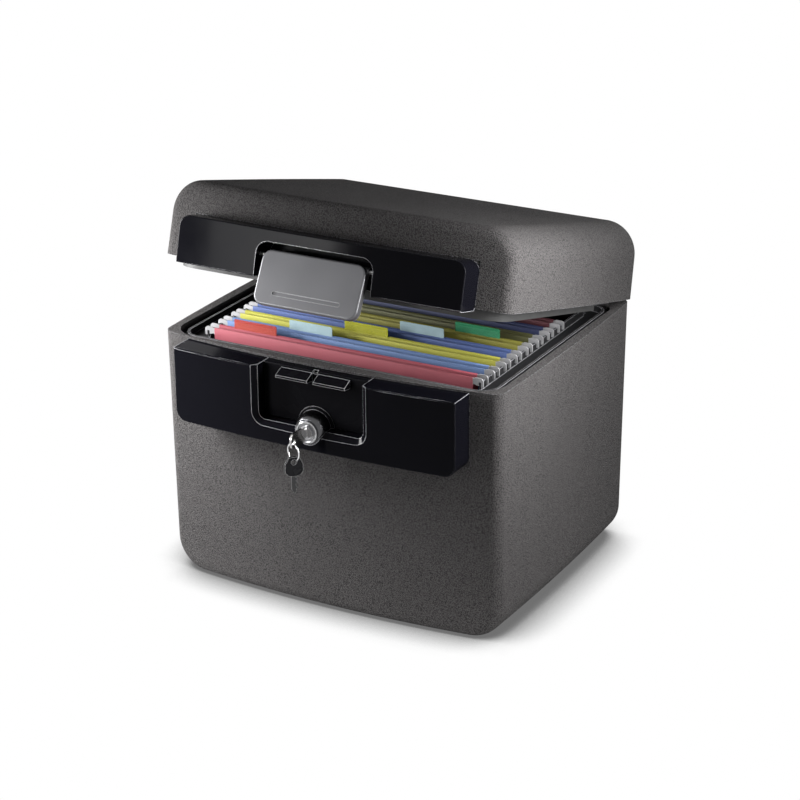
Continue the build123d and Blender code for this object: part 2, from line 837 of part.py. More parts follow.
def hinge_pins():
    with BuildPart() as pins:
        for x in (-hinge_x, hinge_x):
            add(across(hinge_pin_radius, hinge_y, hinge_z, hinge_length / 2, x))
    save(pins.part, "hinge_pins")


def folder(number):
    """A sheet folded into a deep U, two flat rods with hooked ends, and a tab on some folders."""
    mid_y = y_front + folder_first + folder_pitch * (number - 1)
    low = liner_floor + folder_lift
    outer = folder_gap / 2 + folder_sheet / 2
    with BuildPart() as sheet:
        with Locations((0, mid_y, (low + folder_top) / 2)):
            Box(2 * folder_half, 2 * outer, folder_top - low)
        with Locations((0, mid_y, (low + folder_top) / 2 + folder_sheet)):
            Box(2 * folder_half + spare_room, 2 * (outer - folder_sheet), folder_top - low,
                mode=Mode.SUBTRACT)
    save(sheet.part, "folder_" + str(number))
    rod_top = folder_top - rod_drop
    hook_height = rod_top - rail_z + hook_drop
    with BuildPart() as rods:
        for side in (-1, 1):
            rod_y = mid_y + side * (outer - folder_sheet - rod_thick / 2)
            with Locations((0, rod_y, rod_top - rod_height / 2)):
                Box(2 * folder_half, rod_thick, rod_height)
            for end in (-1, 1):
                hook_mid = end * (folder_half + rod_half) / 2
                with Locations((hook_mid, rod_y, rod_top - hook_height / 2)):
                    Box(rod_half - folder_half, rod_thick, hook_height)
                with Locations((end * (ledge_half + rail_width / 2), rod_y, rail_z - hook_drop)):
                    Box(rail_width + 2 * hook_clearance, rod_thick, 2 * hook_drop, mode=Mode.SUBTRACT)
    save(rods.part, "rods_" + str(number))
    if number <= len(tab_names):
        tab_x = tab_edge - folder_half + (number - 0.5) * tab_width
        with BuildPart() as tab:
            tab_y = mid_y + outer - folder_sheet - rod_thick - tab_thick / 2
            with Locations((tab_x, tab_y, folder_top + (tab_height - tab_tuck) / 2)):
                Box(tab_width - tab_space, tab_thick, tab_height + tab_tuck)
        save(tab.part, "tab_" + str(number))


def hinges():
    save(hinge_leaves(-1), "body_hinge_leaves")
    save_lid(hinge_leaves(1), "lid_hinge_leaves")
    save(hinge_screws(-1), "body_hinge_screws")
    save_lid(hinge_screws(1), "lid_hinge_screws")
    hinge_pins()


def locks():
    lock_boss()
    lock_cylinder()
    lock_plug()
    lock_cam()
    hole_y = key()
    wire_z = key_ring(hole_y)
    spare_key(hole_y, wire_z)


for make in (body_shell, body_insulation, body_liner, body_gasket, body_trim, strike_plate, keepers, locks,
             lid_shell, lid_insulation, lid_liner, lid_seal, lid_trim, latch_well, latch_pin, latch_plate,
             latch_hooks, hinges):
    make()
for number in range(1, folder_count + 1):
    folder(number)
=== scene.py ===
# %% [markdown]
# A fireproof file box stands with its lid ajar, its latch swung out and a key in its lock. The
# measured model is loaded first, as a fixed frame. Everything made here is in metres, in that
# model's own place, so a new piece goes where the model says and needs no fitting.

# %% Load the measured model
import json
import math

import bmesh
import bpy
from mathutils import Matrix, Vector


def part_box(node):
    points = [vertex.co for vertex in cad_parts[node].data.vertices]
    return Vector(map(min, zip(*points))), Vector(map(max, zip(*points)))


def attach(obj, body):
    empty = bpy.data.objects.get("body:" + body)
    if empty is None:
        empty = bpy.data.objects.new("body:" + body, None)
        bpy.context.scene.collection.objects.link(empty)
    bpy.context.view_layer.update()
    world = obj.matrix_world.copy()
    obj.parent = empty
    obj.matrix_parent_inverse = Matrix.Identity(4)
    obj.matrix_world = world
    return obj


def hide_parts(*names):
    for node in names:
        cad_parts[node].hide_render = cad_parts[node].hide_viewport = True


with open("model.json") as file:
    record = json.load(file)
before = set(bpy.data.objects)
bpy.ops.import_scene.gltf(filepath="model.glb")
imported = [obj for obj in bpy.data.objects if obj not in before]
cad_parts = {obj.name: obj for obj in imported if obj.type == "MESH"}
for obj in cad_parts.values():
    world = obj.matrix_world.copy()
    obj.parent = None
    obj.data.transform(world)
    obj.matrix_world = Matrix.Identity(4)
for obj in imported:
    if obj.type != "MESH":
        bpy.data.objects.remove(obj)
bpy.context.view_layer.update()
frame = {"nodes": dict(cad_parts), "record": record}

nodes = frame["nodes"]
mm = 0.001

# %% [markdown]
# The camera stands where the photograph was taken from. That place was worked out from the corners
# of the box: a long lens, a little right of the front and looking down. The small shift keeps the
# framing.

# %% Camera at the photograph's angle
scene = bpy.context.scene
view_azimuth = math.radians(29.017)
view_elevation = math.radians(22.935)
view_roll = math.radians(-0.424)
view_distance = 2.493
view_target = Vector((0, 0, 0.1332))


def direction(azimuth, elevation):
    """Unit vector from the box outwards. The azimuth turns to the right of the front, in radians."""
    level = math.cos(elevation)
    return Vector((math.sin(azimuth) * level, -math.cos(azimuth) * level, math.sin(elevation)))


towards_camera = direction(view_azimuth, view_elevation)
camera_data = bpy.data.cameras.new("photo_camera")
camera_data.lens = 106.65
camera_data.sensor_width = 36
camera_data.shift_x = 0.0015
camera_data.shift_y = 0.0449
camera_data.clip_end = 50
camera = bpy.data.objects.new("photo_camera", camera_data)
scene.collection.objects.link(camera)
camera.rotation_mode = "QUATERNION"
camera.location = view_target + towards_camera * view_distance
look = (-towards_camera).to_track_quat("-Z", "Y")
camera.rotation_quaternion = look @ Matrix.Rotation(view_roll, 4, "Z").to_quaternion()
scene.camera = camera
scene.view_settings.view_transform = "Standard"
print("camera at", [round(c, 3) for c in camera.location])

# %% [markdown]
# Nodes are wired by code here, so a few small helpers keep that readable: they add a node and set
# it, do a sum, mix two colours, start a material, and start or place a group with named inputs and
# outputs.

# %% Helpers for node trees
MIX_FIRST, MIX_SECOND, MIX_RESULT = 6, 7, 2  # a Mix node's sockets when it mixes colours


def feed(tree, socket, value):
    """Link another node's output to a socket, or set the socket to a plain value."""
    if isinstance(value, bpy.types.NodeSocket):
        tree.links.new(value, socket)
    else:
        socket.default_value = value


def add_node(tree, kind, inputs=None, **settings):
    """Add a node with its settings, and feed its inputs by their names or numbers."""
    made = tree.nodes.new(kind)
    for name, value in settings.items():
        setattr(made, name, value)
    for name, value in (inputs or {}).items():
        feed(tree, made.inputs[name], value)
    return made


def math_node(tree, operation, a, b=None, c=None):
    made = add_node(tree, "ShaderNodeMath", operation=operation)
    for index, value in enumerate((a, b, c)):
        if value is not None:
            feed(tree, made.inputs[index], value)
    return made.outputs[0]


def mix_colors(tree, factor, first, second):
    """Mix two colours, each an output socket or a red, green and blue value."""
    mixed = add_node(tree, "ShaderNodeMix", data_type="RGBA")
    tree.links.new(factor, mixed.inputs["Factor"])
    for index, color in ((MIX_FIRST, first), (MIX_SECOND, second)):
        if not isinstance(color, bpy.types.NodeSocket):
            color = (*color, 1)
        feed(tree, mixed.inputs[index], color)
    return mixed.outputs[MIX_RESULT]


def new_material(name):
    """A material with a Principled shader wired to its output."""
    material = bpy.data.materials.new(name)
    material.use_nodes = True
    tree = material.node_tree
    tree.nodes.clear()
    output = add_node(tree, "ShaderNodeOutputMaterial")
    shader = add_node(tree, "ShaderNodeBsdfPrincipled")
    tree.links.new(shader.outputs[0], output.inputs[0])
    return material, tree, shader


def new_group(name, kind, inputs, outputs):
    """A node group whose inputs are given as name: (type, value), and its outputs as name: type."""
    group = bpy.data.node_groups.new(name, kind)
    for label, (socket_type, value) in inputs.items():
        socket = group.interface.new_socket(label, in_out="INPUT", socket_type=socket_type)
        if value is not None:
            socket.default_value = value
    for label, socket_type in outputs.items():
        group.interface.new_socket(label, in_out="OUTPUT", socket_type=socket_type)
    return group, group.nodes.new("NodeGroupInput"), group.nodes.new("NodeGroupOutput")


def place_group(tree, group, values=None):
    made = add_node(tree, "ShaderNodeGroup", node_tree=group)
    for name, value in (values or {}).items():
        made.inputs[name].default_value = value
    return made


print("helpers ready")

# %% [markdown]
# The moulded shells have a pebbled skin: small rounded bumps about a millimetre across. A smooth
# Voronoi pattern gives rounded cells, and a noise pushes them out of line so that no grid shows. It
# is a group that gives the skin's height, a mask of the pits between the pebbles, and a slow cloud
# for its colour.

# %% Shader group: pebbled skin
FLOAT, VECTOR = "NodeSocketFloat", "NodeSocketVector"
pebbles, pebbles_in, pebbles_out = new_group(
    "pebbled_skin", "ShaderNodeTree",
    {"Pebble Size": (FLOAT, 0.9 * mm), "Uneven": (FLOAT, 0.5)},
    {"Height": FLOAT, "Pits": FLOAT, "Cloud": FLOAT})
place = add_node(pebbles, "ShaderNodeTexCoord").outputs["Object"]
per_metre = math_node(pebbles, "DIVIDE", 1.0, pebbles_in.outputs["Pebble Size"])
wobble = add_node(pebbles, "ShaderNodeTexNoise", {"Vector": place, "Scale": 600.0, "Detail": 1.0})
shifted = add_node(pebbles, "ShaderNodeVectorMath",
                   {0: wobble.outputs["Color"], 1: (0.5, 0.5, 0.5)},
                   operation="SUBTRACT").outputs[0]
reach = math_node(pebbles, "MULTIPLY", pebbles_in.outputs["Uneven"],
                  pebbles_in.outputs["Pebble Size"])
shifted = add_node(pebbles, "ShaderNodeVectorMath", {0: shifted, "Scale": reach},
                   operation="SCALE").outputs[0]
moved = add_node(pebbles, "ShaderNodeVectorMath", {0: place, 1: shifted},
                 operation="ADD").outputs[0]
cells = add_node(pebbles, "ShaderNodeTexVoronoi",
                 {"Vector": moved, "Scale": per_metre, "Smoothness": 0.6}, feature="SMOOTH_F1")
dome = math_node(pebbles, "SUBTRACT", 1.0, cells.outputs["Distance"])
fine = add_node(pebbles, "ShaderNodeTexNoise", {"Vector": moved, "Scale": 1500.0, "Detail": 2.0})
height = math_node(pebbles, "MULTIPLY_ADD", fine.outputs["Fac"], 0.25, dome)
pit = add_node(pebbles, "ShaderNodeMapRange", {"Value": dome, "From Min": 0.62, "From Max": 0.38})
cloud = add_node(pebbles, "ShaderNodeTexNoise", {"Vector": place, "Scale": 9.0, "Detail": 3.0})
pebbles.links.new(height, pebbles_out.inputs["Height"])
pebbles.links.new(pit.outputs[0], pebbles_out.inputs["Pits"])
pebbles.links.new(cloud.outputs["Fac"], pebbles_out.inputs["Cloud"])
print("group:", pebbles.name)

# %% [markdown]
# Smooth plastic and metal are never quite even. This group gives faint smears that change how
# glossy a surface is, shallow waves that bend its reflections a little, and specks for a fine
# grain.

# %% Shader group: handled surface
handled, handled_in, handled_out = new_group(
    "handled_surface", "ShaderNodeTree",
    {"Smear Scale": (FLOAT, 30.0), "Stretch": (VECTOR, (1.0, 1.0, 1.0))},
    {"Smears": FLOAT, "Waves": FLOAT, "Specks": FLOAT})
place = add_node(handled, "ShaderNodeTexCoord").outputs["Object"]
stretched = add_node(handled, "ShaderNodeVectorMath", {0: place, 1: handled_in.outputs["Stretch"]},
                     operation="MULTIPLY").outputs[0]
smear = add_node(handled, "ShaderNodeTexNoise",
                 {"Vector": stretched, "Scale": handled_in.outputs["Smear Scale"], "Detail": 4.0,
                  "Distortion": 0.6})
wave = add_node(handled, "ShaderNodeTexNoise", {"Vector": place, "Scale": 14.0, "Detail": 1.0})
speck = add_node(handled, "ShaderNodeTexNoise", {"Vector": place, "Scale": 900.0, "Detail": 2.0})
handled.links.new(smear.outputs["Fac"], handled_out.inputs["Smears"])
handled.links.new(wave.outputs["Fac"], handled_out.inputs["Waves"])
handled.links.new(speck.outputs["Fac"], handled_out.inputs["Specks"])
print("group:", handled.name)

# %% [markdown]
# Moulded and bent edges catch the light as thin bright lines. This group finds the edges for a
# painted highlight: a Bevel node looks at the surface just around a point. Where its softened
# normal leaves the real one, there is an edge, so the difference of the two makes a mask that any
# finish can use to paint its edges paler.

# %% Shader group: painted edge highlight
highlight_tree, highlight_in, highlight_out = new_group(
    "painted_edge_highlight", "ShaderNodeTree",
    {"Width": (FLOAT, 1.0 * mm), "Patchy": (FLOAT, 0.3)}, {"Edge": FLOAT})
softened = add_node(highlight_tree, "ShaderNodeBevel", {"Radius": highlight_in.outputs["Width"]}, samples=4)
true_normal = add_node(highlight_tree, "ShaderNodeNewGeometry").outputs["Normal"]
alike = add_node(highlight_tree, "ShaderNodeVectorMath", {0: softened.outputs[0], 1: true_normal},
                 operation="DOT_PRODUCT").outputs["Value"]
# painted highlight: the edge mask, along which finishes paint a paler colour for the light an edge
# catches
edge = add_node(highlight_tree, "ShaderNodeMapRange",
                {"Value": alike, "From Min": 0.985, "From Max": 0.90}).outputs[0]
place = add_node(highlight_tree, "ShaderNodeTexCoord").outputs["Object"]
patches = add_node(highlight_tree, "ShaderNodeTexNoise",
                   {"Vector": place, "Scale": 60.0, "Detail": 2.0}).outputs["Fac"]
patches = math_node(highlight_tree, "MULTIPLY", patches, highlight_in.outputs["Patchy"])
highlight_tree.links.new(math_node(highlight_tree, "SUBTRACT", edge, patches), highlight_out.inputs["Edge"])
print("group:", highlight_tree.name)

# %% [markdown]
# The shells' plastic is the pebbled group put to work: the pits are painted darker than the pebbles
# as painted shade, a slow cloud varies the charcoal and its dullness from place to place, and the
# edges get a paler painted highlight.
# The three helpers in this cell serve the other finishes too.

# %% Pebbled shell plastic
EDGE_GLOSS = 0.12  # roughness of the coat that a shiny edge gets


def spread(tree, value, low, high):
    """Stretch the middle of a noise, where most of its values lie, from low to high."""
    return add_node(tree, "ShaderNodeMapRange", {"Value": value, "From Min": 0.3, "From Max": 0.7,
                                                 "To Min": low, "To Max": high}).outputs[0]


def bump(tree, height, strength, distance, shader):
    made = add_node(tree, "ShaderNodeBump",
                    {"Height": height, "Strength": strength, "Distance": distance})
    tree.links.new(made.outputs[0], shader.inputs["Normal"])


def paint_edge_highlight(tree, shade, highlight_color, width, shader, shine=0.0):
    """Paint a paler highlight on a shade's edges, and a glossy coat along them where shine is more
    than nothing.
    """
    highlight_band = place_group(tree, highlight_tree, {"Width": width})
    mask = add_node(tree, "ShaderNodeClamp", {0: highlight_band.outputs["Edge"]}).outputs[0]
    # painted highlight: the paler colour along the edges stands in for light; the coat is real gloss
    lit = mix_colors(tree, mask, shade, highlight_color)
    if shine:
        tree.links.new(math_node(tree, "MULTIPLY", mask, shine), shader.inputs["Coat Weight"])
        shader.inputs["Coat Roughness"].default_value = EDGE_GLOSS
    return lit


def shell_plastic(name):
    material, tree, shader = new_material(name)
    skin = place_group(tree, pebbles)
    cloudy = mix_colors(tree, skin.outputs["Cloud"], (0.060, 0.057, 0.057), (0.078, 0.074, 0.074))
    # painted highlight: paler edges stand in for the light they catch
    cloudy = paint_edge_highlight(tree, cloudy, (0.20, 0.20, 0.21), 0.9 * mm, shader)
    # painted shade: the pits between the pebbles are darkened
    pit_shaded = mix_colors(tree, skin.outputs["Pits"], cloudy, (0.027, 0.026, 0.026))
    tree.links.new(pit_shaded, shader.inputs["Base Color"])
    tree.links.new(spread(tree, skin.outputs["Cloud"], 0.78, 0.90), shader.inputs["Roughness"])
    shader.inputs["Specular IOR Level"].default_value = 0.025
    bump(tree, skin.outputs["Height"], 1.0, 0.75 * mm, shader)
    return material


charcoal_shell = shell_plastic("charcoal_shell")
print("material:", charcoal_shell.name)

# %% [markdown]
# Most other finishes are one colour with small changes over the surface. This function makes them
# all from named values: the colour and its darker twin, how rough, how metallic, how wavy and
# grainy, and how pale and wide the painted highlight along the edges is. Black gloss has a low
# specular level, because the white room around the box would turn it grey.

# %% Smooth finishes
grain_depth = 1.0 * mm  # the bump's distance, which waves and grain are parts of


def smooth_finish(name, color, darker=0.8, rough=(0.3, 0.4), metallic=0.0, wave=0.0, grain=0.0,
                  smear_scale=30.0, stretch=(1, 1, 1), specular=0.5, edge=None,
                  edge_width=1.0 * mm, shine=0.0):
    material, tree, shader = new_material(name)
    surface = place_group(tree, handled, {"Smear Scale": smear_scale, "Stretch": stretch})
    dark = tuple(channel * darker for channel in color)
    shade = mix_colors(tree, surface.outputs["Smears"], dark, color)
    # painted highlight: edge is the paler colour painted along the edges
    if edge:
        shade = paint_edge_highlight(tree, shade, edge, edge_width, shader, shine)
    tree.links.new(shade, shader.inputs["Base Color"])
    tree.links.new(spread(tree, surface.outputs["Smears"], *rough), shader.inputs["Roughness"])
    shader.inputs["Metallic"].default_value = metallic
    shader.inputs["Specular IOR Level"].default_value = specular
    if wave or grain:
        shape = math_node(tree, "MULTIPLY", surface.outputs["Waves"], wave)
        shape = math_node(tree, "MULTIPLY_ADD", surface.outputs["Specks"], grain, shape)
        bump(tree, shape, 1.0, grain_depth, shader)
    return material


# Each edge colour below is a painted highlight: a paler colour along the edges for the light they
# catch.
gloss_black = smooth_finish("gloss_black", (0.003, 0.003, 0.0045), rough=(0.10, 0.16), wave=0.3,
                            specular=0.03, edge=(0.50, 0.50, 0.53), shine=1.0)
recess_black = smooth_finish("recess_black", (0.004, 0.004, 0.005), rough=(0.22, 0.30),
                             grain=0.02, specular=0.02, edge=(0.50, 0.50, 0.52),
                             edge_width=0.9 * mm, shine=1.0)
liner_grey = smooth_finish("liner_grey", (0.015, 0.015, 0.016), rough=(0.32, 0.42), grain=0.03,
                           specular=0.05, edge=(0.34, 0.34, 0.36), edge_width=1.1 * mm)
seal_rubber = smooth_finish("seal_rubber", (0.010, 0.010, 0.010), rough=(0.6, 0.75), grain=0.06)
latch_satin = smooth_finish("latch_satin", (0.125, 0.125, 0.132), darker=0.9,
                            rough=(0.34, 0.40), metallic=0.45, grain=0.015, specular=0.3,
                            edge=(0.42, 0.42, 0.43))
lock_chrome = smooth_finish("lock_chrome", (0.30, 0.30, 0.31), darker=0.7, rough=(0.10, 0.2),
                            metallic=1.0, edge=(0.92, 0.92, 0.93), edge_width=0.8 * mm,
                            smear_scale=120.0)
boss_chrome = smooth_finish("boss_chrome", (0.10, 0.10, 0.105), darker=0.5, rough=(0.14, 0.24),
                            metallic=1.0, edge=(0.5, 0.5, 0.51), edge_width=0.8 * mm,
                            smear_scale=60.0)
plain_steel = smooth_finish("plain_steel", (0.45, 0.45, 0.45), rough=(0.25, 0.4), metallic=1.0,
                            stretch=(0.1, 1, 1), smear_scale=300.0)
key_steel = smooth_finish("key_steel", (0.50, 0.49, 0.48), rough=(0.15, 0.28), metallic=1.0,
                          grain=0.02, edge=(0.85, 0.85, 0.85), edge_width=0.4 * mm)
key_steel_dark = smooth_finish("key_steel_dark", (0.045, 0.045, 0.046), rough=(0.25, 0.4),
                               metallic=0.8, grain=0.03, edge=(0.5, 0.5, 0.5),
                               edge_width=0.3 * mm)
ring_chrome = smooth_finish("ring_chrome", (0.82, 0.82, 0.83), rough=(0.08, 0.14), metallic=1.0)
key_black = smooth_finish("key_black", (0.005, 0.005, 0.006), rough=(0.2, 0.3), grain=0.02,
                          specular=0.15, edge=(0.6, 0.6, 0.6), edge_width=0.5 * mm)
hinge_paint = smooth_finish("hinge_paint", (0.022, 0.022, 0.022), rough=(0.35, 0.45), grain=0.04)
screw_paint = smooth_finish("screw_paint", (0.035, 0.035, 0.035), rough=(0.3, 0.4), metallic=0.6)
insulation = smooth_finish("insulation", (0.5, 0.49, 0.47), rough=(0.8, 0.9), grain=0.3)
rod_silver = smooth_finish("rod_silver", (0.33, 0.33, 0.34), darker=0.85, rough=(0.3, 0.42),
                           metallic=0.35, stretch=(0.2, 1, 1), smear_scale=120.0)
print("materials so far, with the model's own:", len(bpy.data.materials))

# %% [markdown]
# Each measured piece takes the finish of its slot in the record. The pieces keep their own shape,
# which was made exact elsewhere, and only the material on them changes. The lock's round housing
# gets a darker chrome than the face inside it, so that the two read as two pieces.

# %% Give the measured pieces their finishes
finish_of_slot = {
    "charcoal_shell": charcoal_shell, "gloss_black": gloss_black, "recess_black": recess_black,
    "liner_grey": liner_grey, "seal_rubber": seal_rubber, "latch_satin": latch_satin,
    "lock_chrome": lock_chrome, "plain_steel": plain_steel, "key_steel": key_steel,
    "key_steel_dark": key_steel_dark, "ring_chrome": ring_chrome, "key_black": key_black,
    "hinge_steel": hinge_paint, "screw_steel": screw_paint, "insulation": insulation,
    "rod_silver": rod_silver}


def set_finish(piece, material):
    piece.data.materials.clear()
    piece.data.materials.append(material)


slot_of_node = {entry["node"]: entry["material_slot"] for entry in frame["record"]["subparts"]}
for name, node in nodes.items():
    if slot_of_node[name] in finish_of_slot:
        set_finish(node, finish_of_slot[slot_of_node[name]])
set_finish(nodes["lock_boss"], boss_chrome)
print("slots with a finish:", len(finish_of_slot))

# %% [markdown]
# The folders are card. Card is matt, with fibres that show as a faint mottle, and its colour is a
# little deeper where the fibres lie close. Each folder has its own colour, so one function makes
# eight cards.

# %% Coloured card
def card(name, color):
    material, tree, shader = new_material(name)
    surface = place_group(tree, handled, {"Smear Scale": 220.0, "Stretch": (0.3, 1.0, 1.0)})
    dark = tuple(channel * 0.82 for channel in color)
    tree.links.new(mix_colors(tree, surface.outputs["Smears"], dark, color),
                   shader.inputs["Base Color"])
    tree.links.new(spread(tree, surface.outputs["Smears"], 0.55, 0.7), shader.inputs["Roughness"])
    bump(tree, surface.outputs["Specks"], 0.5, 0.05 * mm, shader)
    return material


folder_colors = {
    "folder_red": (0.24, 0.045, 0.062), "folder_light_blue": (0.085, 0.14, 0.28),
    "folder_yellow": (0.29, 0.28, 0.035), "folder_blue": (0.045, 0.075, 0.20),
    "folder_olive": (0.16, 0.15, 0.02), "folder_moss": (0.06, 0.06, 0.02),
    "folder_navy": (0.016, 0.022, 0.065), "folder_dark_red": (0.065, 0.014, 0.02)}
cards = {slot: card(slot, color) for slot, color in folder_colors.items()}
print("cards:", list(cards))

# %% [markdown]
# A hanging folder is one sheet of card: down, round a narrow bottom and up again, with each top
# edge folded over a flat rod. Its outline in the depth direction follows a rule, so it is worked
# out here from named sizes, and a Geometry Nodes tree then sweeps it across the box, waves it a
# little and gives it the card's thickness. Only the outline's place, the seed of the waves and
# the card's colour differ from folder to folder.

# %% Outline of a folder
card_thick = 0.45 * mm
hem_radius = 1.35 * mm
hem_drop = 11.0 * mm
hem_steps, side_steps, base_steps = 8, 24, 8


def folder_outline(mid_y, half_gap, low, top):
    """Points of the sheet's outline from one hem to the other, seen from the side."""
    points = []
    for side in (-1, 1):
        inner = half_gap - 2 * hem_radius
        hem = [(side * (half_gap - hem_radius - hem_radius * math.cos(t * math.pi / hem_steps)),
                top - hem_radius + hem_radius * math.sin(t * math.pi / hem_steps))
               for t in range(hem_steps + 1)]
        wall = [(side * half_gap, top - (top - low - half_gap) * step / side_steps)
                for step in range(2, side_steps + 1)]
        round_base = [(side * half_gap * math.cos(t * math.pi / (2 * base_steps)),
                       low + half_gap - half_gap * math.sin(t * math.pi / (2 * base_steps)))
                      for t in range(1, base_steps)]
        run = [(side * inner, top - hem_drop)] + hem + wall + round_base
        points += run if side < 0 else [(0.0, low)] + run[::-1]
    return [(mid_y + y, z) for y, z in points]


sample_low, sample_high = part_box("folder_1")
sample_gap = (sample_high.y - sample_low.y) / 2 - card_thick
print("outline points:", len(folder_outline(0, sample_gap, sample_low.z, sample_high.z)))

# %% [markdown]
# Both trees in this lesson start from a flat sheet and end the same way, so two helpers build those
# parts. The first gives a sheet its thickness: Extrude Mesh raises a copy with its rim, the sheet
# itself is turned to face the other way, and the two are joined and welded. The second makes copies
# real and sets the material, which an exported mesh needs.

# %% Shared ends of the trees
sheet_weld = 0.005 * mm
plate_weld = 0.002 * mm


def thicken(tree, sheet, thickness, weld):
    raised = add_node(tree, "GeometryNodeExtrudeMesh",
                      {"Mesh": sheet, "Offset Scale": thickness, "Individual": False})
    under = add_node(tree, "GeometryNodeFlipFaces", {"Mesh": sheet})
    both = add_node(tree, "GeometryNodeJoinGeometry")
    tree.links.new(under.outputs[0], both.inputs[0])
    tree.links.new(raised.outputs["Mesh"], both.inputs[0])
    return add_node(tree, "GeometryNodeMergeByDistance",
                    {"Geometry": both.outputs[0], "Distance": weld}).outputs[0]


def end_tree(tree, geometry, finish, group_output):
    real = add_node(tree, "GeometryNodeRealizeInstances", {"Geometry": geometry})
    painted = add_node(tree, "GeometryNodeSetMaterial",
                       {"Geometry": real.outputs[0], "Material": finish})
    tree.links.new(painted.outputs[0], group_output.inputs[0])
    print("tree:", tree.name, "with", len(tree.nodes), "nodes")


# %% [markdown]
# The sheet's tree turns the outline into a curve and lays a flat grid on it: the grid's Y goes
# along the curve, and its X across the box. A noise pushes the card to and fro below the stiff hem,
# never in it.

# %% Geometry Nodes tree: sweep an outline into a sheet
columns, rows = 61, 150  # of the grid: across the box, and along the outline
stiff_depth, loose_depth = 0.012, 0.08  # metres below the top where the waves begin and are full
sheet_tree, sheet_in, sheet_out = new_group(
    "folder_sheet", "GeometryNodeTree",
    {"Outline": ("NodeSocketGeometry", None), "Half Width": (FLOAT, 0.15),
     "Thickness": (FLOAT, card_thick), "Wave": (FLOAT, 0.6 * mm), "Top": (FLOAT, 0.27),
     "Seed": (FLOAT, 0.0), "Card": ("NodeSocketMaterial", None)},
    {"Sheet": "NodeSocketGeometry"})
line = add_node(sheet_tree, "GeometryNodeMeshToCurve", {"Mesh": sheet_in.outputs["Outline"]})
grid = add_node(sheet_tree, "GeometryNodeMeshGrid",
                {"Size X": 2.0, "Size Y": 1.0, "Vertices X": columns, "Vertices Y": rows})
here = add_node(sheet_tree, "GeometryNodeInputPosition").outputs[0]
split = add_node(sheet_tree, "ShaderNodeSeparateXYZ", {0: here})
along = math_node(sheet_tree, "ADD", split.outputs["Y"], 0.5)
on_line = add_node(sheet_tree, "GeometryNodeSampleCurve",
                   {"Curves": line.outputs[0], "Factor": along}, mode="FACTOR", use_all_curves=True)
at = add_node(sheet_tree, "ShaderNodeSeparateXYZ", {0: on_line.outputs["Position"]})
across = math_node(sheet_tree, "MULTIPLY", split.outputs["X"], sheet_in.outputs["Half Width"])
depth_below = math_node(sheet_tree, "SUBTRACT", sheet_in.outputs["Top"], at.outputs["Z"])
loose = add_node(sheet_tree, "ShaderNodeMapRange",
                 {"Value": depth_below, "From Min": stiff_depth, "From Max": loose_depth})
wave_place = add_node(sheet_tree, "ShaderNodeCombineXYZ",
                      {"X": across, "Y": sheet_in.outputs["Seed"], "Z": at.outputs["Z"]})
waves = add_node(sheet_tree, "ShaderNodeTexNoise",
                 {"Vector": wave_place.outputs[0], "Scale": 12.0, "Detail": 1.0})
swing = math_node(sheet_tree, "SUBTRACT", waves.outputs["Fac"], 0.5)
swing = math_node(sheet_tree, "MULTIPLY", swing, sheet_in.outputs["Wave"])
swing = math_node(sheet_tree, "MULTIPLY", swing, loose.outputs[0])
waved = math_node(sheet_tree, "ADD", at.outputs["Y"], swing)
target = add_node(sheet_tree, "ShaderNodeCombineXYZ",
                  {"X": across, "Y": waved, "Z": at.outputs["Z"]})
laid = add_node(sheet_tree, "GeometryNodeSetPosition",
                {"Geometry": grid.outputs["Mesh"], "Position": target.outputs[0]})
card_sheet = thicken(sheet_tree, laid.outputs[0], sheet_in.outputs["Thickness"], sheet_weld)
end_tree(sheet_tree, card_sheet, sheet_in.outputs["Card"], sheet_out)

# %% [markdown]
# A tree is put on an object as a modifier. Its inputs are set by the sockets' identifiers, then the
# result is turned into a plain mesh, so that nothing in the finished piece depends on the tree.

# %% Run a tree and keep its mesh
def make_object(name, mesh):
    made = bpy.data.objects.new(name, mesh)
    scene.collection.objects.link(made)
    return made


def mesh_from(name, points, edges=(), faces=()):
    mesh = bpy.data.meshes.new(name)
    mesh.from_pydata([tuple(p) for p in points], list(edges), list(faces))
    mesh.update()
    return mesh


def run_tree(piece, tree, values):
    """Run a tree on a piece with these inputs, and put the resulting mesh in its place."""
    modifier = piece.modifiers.new(tree.name, "NODES")
    modifier.node_group = tree
    sockets = {item.name: item.identifier for item in tree.interface.items_tree
               if item.item_type == "SOCKET" and item.in_out == "INPUT"}
    for name, value in values.items():
        modifier[sockets[name]] = value
    bpy.context.view_layer.update()
    evaluated = piece.evaluated_get(bpy.context.evaluated_depsgraph_get())
    mesh = bpy.data.meshes.new_from_object(evaluated)
    piece.modifiers.clear()
    piece.data = mesh


def facing_out(mesh):
    """Merge doubled points and turn every face outwards."""
    work = bmesh.new()
    work.from_mesh(mesh)
    bmesh.ops.remove_doubles(work, verts=work.verts, dist=plate_weld)
    bmesh.ops.recalc_face_normals(work, faces=work.faces)
    work.to_mesh(mesh)
    work.free()


def smooth_shaded(piece, angle):
    """Shade smooth, apart from edges that turn by more than this many degrees."""
    for face in piece.data.polygons:
        face.use_smooth = True
    piece.data.set_sharp_from_angle(angle=math.radians(angle))


print("ready to run trees")

